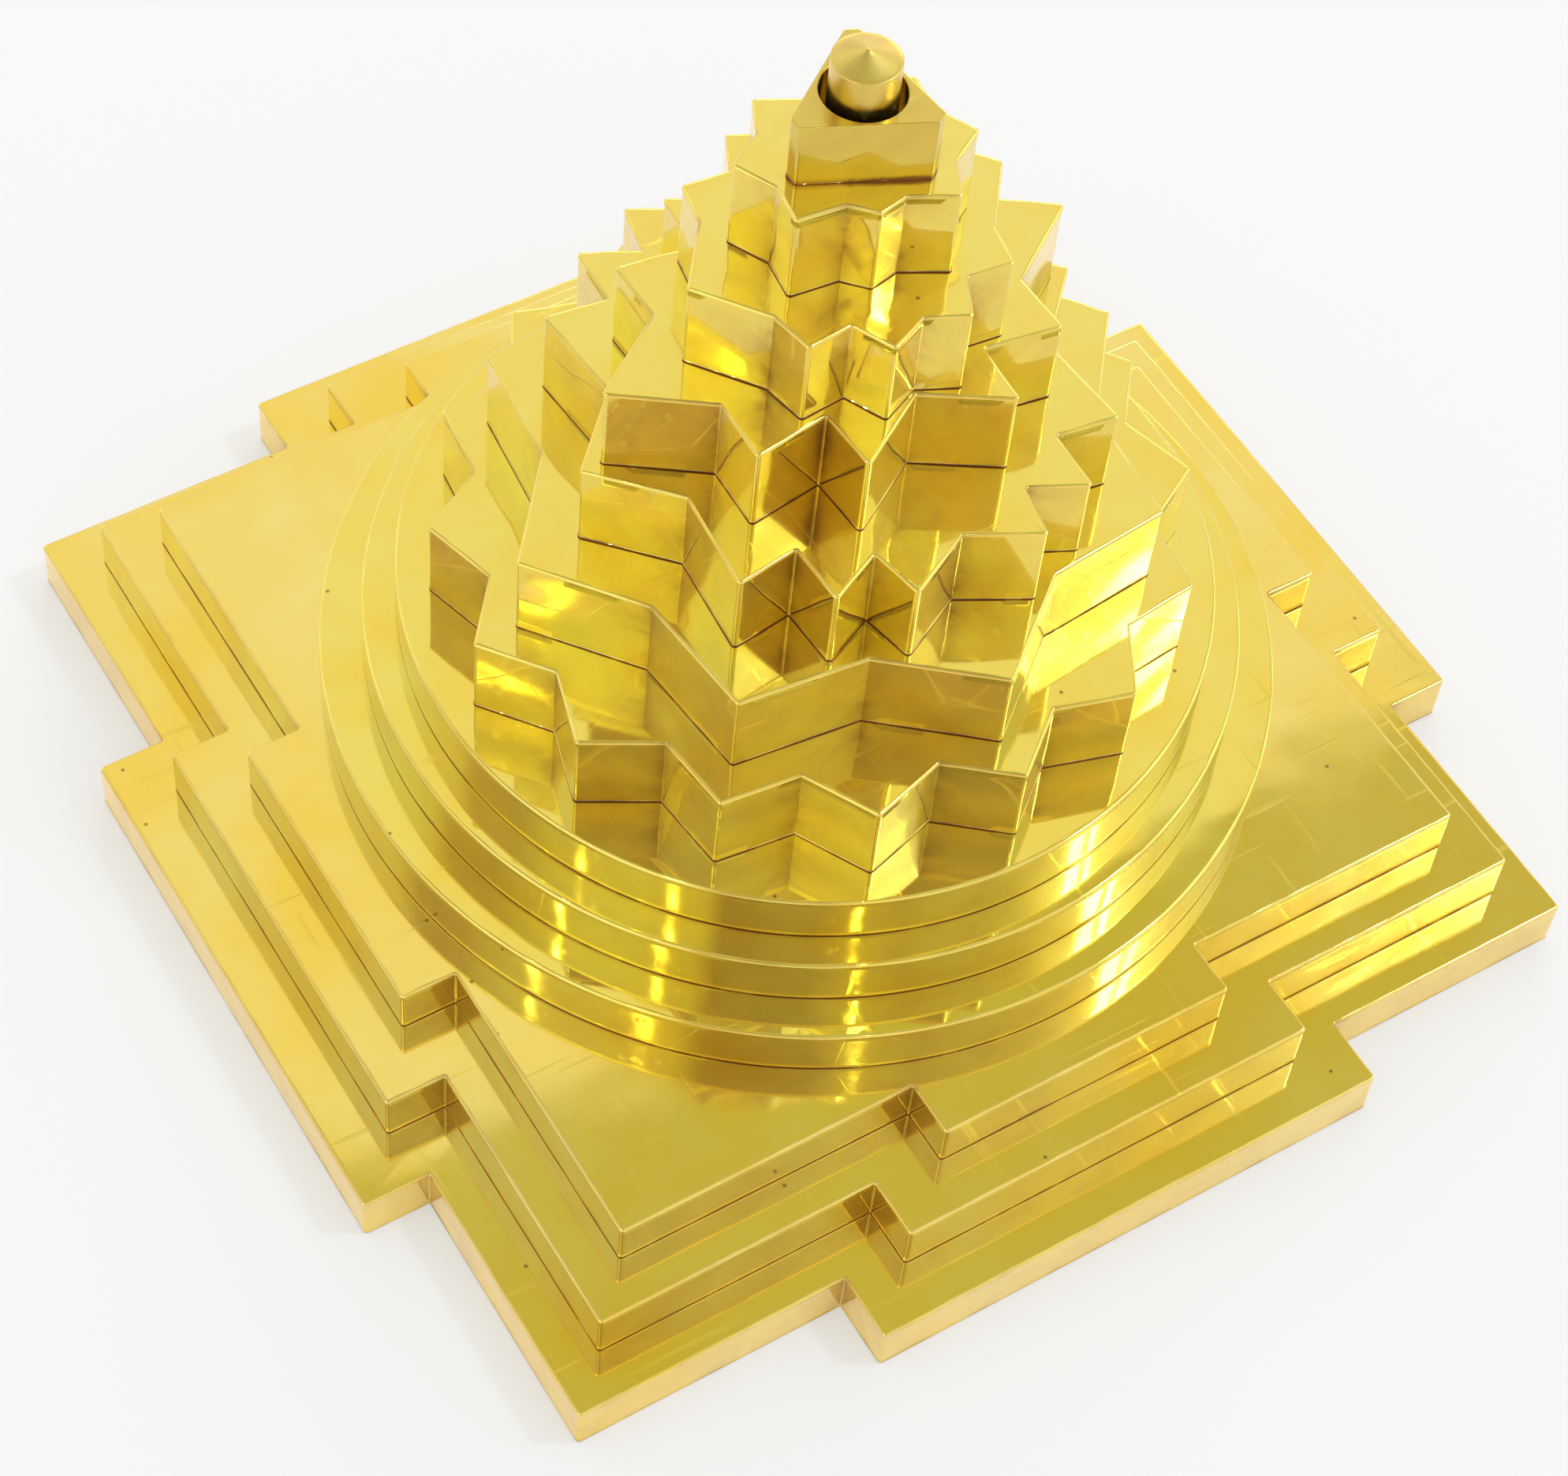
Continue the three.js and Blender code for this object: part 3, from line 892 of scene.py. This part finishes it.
def white_card():
    """Pale matt card that also glows for the camera and, a little warmer, for what the metal mirrors,
    so that it reads as white and still keeps the shadow, which is as faint as in the photo."""
    material, tree, shader = new_material("white card")
    set_inputs(shader, Roughness=0.9)
    shader.inputs["Base Color"].default_value = card_color
    path = add_node(tree, "ShaderNodeLightPath", (-600, -200))
    tint = add_node(tree, "ShaderNodeMix", (0, 100), data_type="RGBA")
    tint.inputs["A"].default_value = seen_tint
    tint.inputs["B"].default_value = mirrored_tint
    tree.links.new(path.outputs["Is Glossy Ray"], tint.inputs["Factor"])
    tree.links.new(tint.outputs["Result"], shader.inputs["Emission Color"])
    seen = add_node(tree, "ShaderNodeMath", (-300, 0), operation="MAXIMUM")
    through = add_node(tree, "ShaderNodeMath", (-100, -200), operation="MAXIMUM")
    glow = add_node(tree, "ShaderNodeMath", (100, -200), operation="MULTIPLY")
    glow.inputs[1].default_value = card_glow
    tree.links.new(path.outputs["Is Camera Ray"], seen.inputs[0])
    tree.links.new(path.outputs["Is Glossy Ray"], seen.inputs[1])
    tree.links.new(seen.outputs["Value"], through.inputs[0])
    tree.links.new(path.outputs["Is Transmission Ray"], through.inputs[1])
    tree.links.new(through.outputs["Value"], glow.inputs[0])
    tree.links.new(glow.outputs["Value"], shader.inputs["Emission Strength"])
    return material


table_top.data.materials.append(white_card())


# Light of the room as the metal mirrors it. Its walls are paler or dimmer by the turn from +X, dimmest
# on the camera's side, the ceiling is dimmer than the walls, and a warm dim patch lies high on the far
# side. The table gets even grey light, and what lies behind the table reads as white.
wall_tones = [
    (-180, 1.18),
    (-153, 1.2),
    (-145, 1.12),
    (-139, 0.65),
    (-112, 0.74),
    (-100, 1.0),
    (-86, 0.86),
    (-64, 0.92),
    (-50, 1.0),
    (-40, 1.3),
    (2, 1.3),
    (20, 1.0),
    (60, 1.0),
    (100, 1.02),
    (112, 1.08),
    (127, 1.08),
    (136, 0.78),
    (152, 0.76),
    (168, 1.04),
    (180, 1.18),
]
# Shares of a tone that its green and blue keep, at tone 0 and more per tone, so dim walls are warm
green_start, green_rise = 0.45, 0.52
blue_start, blue_rise = 0.3, 0.65
# Strength of the walls and of the ceiling, and the sines of the rise where one ends and one begins
wall_share = 1.2
ceiling_share = 0.68
wall_top = 0.72
ceiling_start = 0.88
# The far side: the direction it lies in, how far a ray leans that way where the patch ends and the
# wall starts, and as shares of a turn its middle and the half widths between which it fades out
warm_patch = (0.64, 0.58, 0.2, 1)
far_wall = (1.02, 0.93, 0.84, 1)
far_direction = (0.2, 1.0, 0.0)
patch_end, far_wall_start = 0.475, 0.483
far_middle = 0.644
far_half_width, far_fade_end = 0.072, 0.1
even_grey = (0.92, 0.92, 0.92, 1)
plain_white = (1, 1, 1, 1)
world = bpy.data.worlds.new("room")
bpy.context.scene.world = world
world.use_nodes = True
room = world.node_tree
room.nodes.clear()
join = room.links.new
looking = add_node(room, "ShaderNodeTexCoord", (-1500, 0))
direction = looking.outputs["Generated"]
around = add_node(room, "ShaderNodeTexGradient", (-1300, 300), gradient_type="RADIAL")
join(direction, around.inputs["Vector"])
tones = add_node(room, "ShaderNodeValToRGB", (-1100, 300))
for turn, tone in wall_tones[1:-1]:
    tones.color_ramp.elements.new(turn / 360 + 0.5)
for stop, (turn, tone) in zip(tones.color_ramp.elements, wall_tones):
    green = tone * min(1, green_start + green_rise * tone)
    blue = tone * min(1, blue_start + blue_rise * tone)
    stop.position = turn / 360 + 0.5
    stop.color = (tone, green, blue, 1)
join(around.outputs["Fac"], tones.inputs["Fac"])


def smooth_share(value, place, start, end, low, high):
    """A value eased from low to high while the given one goes from start to end."""
    share = add_node(room, "ShaderNodeMapRange", place, interpolation_type="SMOOTHSTEP")
    set_inputs(share, From_Min=start, From_Max=end, To_Min=low, To_Max=high)
    join(value, share.inputs["Value"])
    return share.outputs["Result"]


# Walls, dimmed towards the ceiling
split = add_node(room, "ShaderNodeSeparateXYZ", (-1300, 0))
join(direction, split.inputs["Vector"])
up = split.outputs["Z"]
overhead = smooth_share(up, (-1100, 0), wall_top, ceiling_start, wall_share, ceiling_share)
walls = add_node(room, "ShaderNodeVectorMath", (-700, 200), operation="SCALE")
join(tones.outputs["Color"], walls.inputs["Vector"])
join(overhead, walls.inputs["Scale"])

# Far side, with the warm patch above the wall, blended into the rest within its half width
towards = add_node(room, "ShaderNodeVectorMath", (-1300, -450), operation="DOT_PRODUCT")
towards.inputs[1].default_value = far_direction
join(direction, towards.inputs[0])
lean = towards.outputs["Value"]
low_enough = smooth_share(lean, (-1100, -450), patch_end, far_wall_start, 0.0, 1.0)
off_middle = add_node(room, "ShaderNodeMath", (-1100, -700), operation="SUBTRACT")
off_middle.inputs[1].default_value = far_middle
join(around.outputs["Fac"], off_middle.inputs[0])
aside = add_node(room, "ShaderNodeMath", (-950, -700), operation="ABSOLUTE")
join(off_middle.outputs["Value"], aside.inputs[0])
off = aside.outputs["Value"]
near_middle = smooth_share(off, (-800, -700), far_half_width, far_fade_end, 1.0, 0.0)
far_side = add_node(room, "ShaderNodeMix", (-600, -400), data_type="RGBA")
join(low_enough, far_side.inputs["Factor"])
far_side.inputs["A"].default_value = warm_patch
far_side.inputs["B"].default_value = far_wall
mirrored = add_node(room, "ShaderNodeMix", (-400, 0), data_type="RGBA")
join(near_middle, mirrored.inputs["Factor"])
join(walls.outputs["Vector"], mirrored.inputs["A"])
join(far_side.outputs["Result"], mirrored.inputs["B"])

# The room for what the metal mirrors, even grey for light on the table, and plain white behind it
ray = add_node(room, "ShaderNodeLightPath", (-400, 400))
shade = add_node(room, "ShaderNodeMix", (-200, 0), data_type="RGBA")
shade.inputs["A"].default_value = even_grey
join(ray.outputs["Is Glossy Ray"], shade.inputs["Factor"])
join(mirrored.outputs["Result"], shade.inputs["B"])
lit = add_node(room, "ShaderNodeBackground", (0, 0))
join(shade.outputs["Result"], lit.inputs["Color"])
plain = add_node(room, "ShaderNodeBackground", (0, -200))
plain.inputs["Color"].default_value = plain_white
behind = add_node(room, "ShaderNodeMath", (0, 400), operation="MAXIMUM")
join(ray.outputs["Is Camera Ray"], behind.inputs[0])
join(ray.outputs["Is Transmission Ray"], behind.inputs[1])
choose = add_node(room, "ShaderNodeMixShader", (200, 0))
join(behind.outputs["Value"], choose.inputs["Fac"])
join(lit.outputs["Background"], choose.inputs[1])
join(plain.outputs["Background"], choose.inputs[2])
sky = add_node(room, "ShaderNodeOutputWorld", (400, 0))
join(choose.outputs["Shader"], sky.inputs["Surface"])


# Windows and lamps of the room, which the brass mirrors as bright shapes: a wide window on the far
# side, one with two panes on the right, and on the camera's side three small ceiling lamps and three
# larger and dimmer low ones.
lamp_distance = 4.0
lamp_aim = Vector((0, 0, 0.04))
daylight = (0.62, 0.7, 1.0)


def soft_lamp(name, azimuth, elevation, width, height, radiance, color=(1, 1, 1)):
    """A rectangular lamp that looks at the yantra from a direction given in degrees from +X and above
    the table. Its power is pi * area * radiance, so radiance 1 mirrors as white."""
    turn, rise = np.radians(azimuth), np.radians(elevation)
    flat = np.cos(rise)
    away = Vector((flat * np.cos(turn), flat * np.sin(turn), np.sin(rise)))
    light = bpy.data.lights.new(name, "AREA")
    light.shape = "RECTANGLE"
    light.size, light.size_y = width, height
    light.energy = float(np.pi * width * height * radiance)
    light.color = color
    lamp = bpy.data.objects.new(name, light)
    lamp.location = away * lamp_distance + lamp_aim
    lamp.rotation_mode = "QUATERNION"
    lamp.rotation_quaternion = away.to_track_quat("Z", "Y")
    bpy.context.scene.collection.objects.link(lamp)


far_window = {"width": 2.0, "height": 1.1, "radiance": 3.0}
near_pane = {"width": 0.24, "height": 0.6, "radiance": 61.0, "color": daylight}
far_pane = {"width": 0.11, "height": 0.5, "radiance": 42.0, "color": daylight}
ceiling_lamp = {"width": 0.038, "height": 0.038, "radiance": 330.0, "color": daylight}
low_lamp = {"width": 0.07, "height": 0.06, "radiance": 9.0}
soft_lamp("far window", 50, 30, **far_window)
soft_lamp("right window, near pane", -30, 53, **near_pane)
soft_lamp("right window, far pane", -23, 54, **far_pane)
for number, (turn, rise) in enumerate([(176, 57), (-154, 57), (-100, 57)], 1):
    soft_lamp(f"ceiling lamp {number}", turn, rise, **ceiling_lamp)
for number, (turn, rise) in enumerate([(172, 47), (-150, 47), (-162, 51)], 1):
    soft_lamp(f"low lamp {number}", turn, rise, **low_lamp)


# Camera about 0.4 m from the yantra, in front and well above, tipped a little to the left, with a
# short telephoto lens.
camera_place = Vector((-0.14314, -0.19060, 0.33515))
camera_aim = Vector((0.00116, 0.00194, 0.0))
camera_roll = 6.77
camera_data = bpy.data.cameras.new("camera")
camera_data.sensor_width = 36
camera_data.lens = 86.09
camera_data.clip_start = 0.02
camera = bpy.data.objects.new("camera", camera_data)
camera.location = camera_place
camera.rotation_mode = "QUATERNION"
facing = (camera_aim - camera_place).to_track_quat("-Z", "Y")
camera.rotation_quaternion = facing @ Quaternion((0, 0, 1), np.radians(camera_roll))
bpy.context.scene.collection.objects.link(camera)
bpy.context.scene.camera = camera
bpy.context.scene.view_settings.view_transform = "Standard"
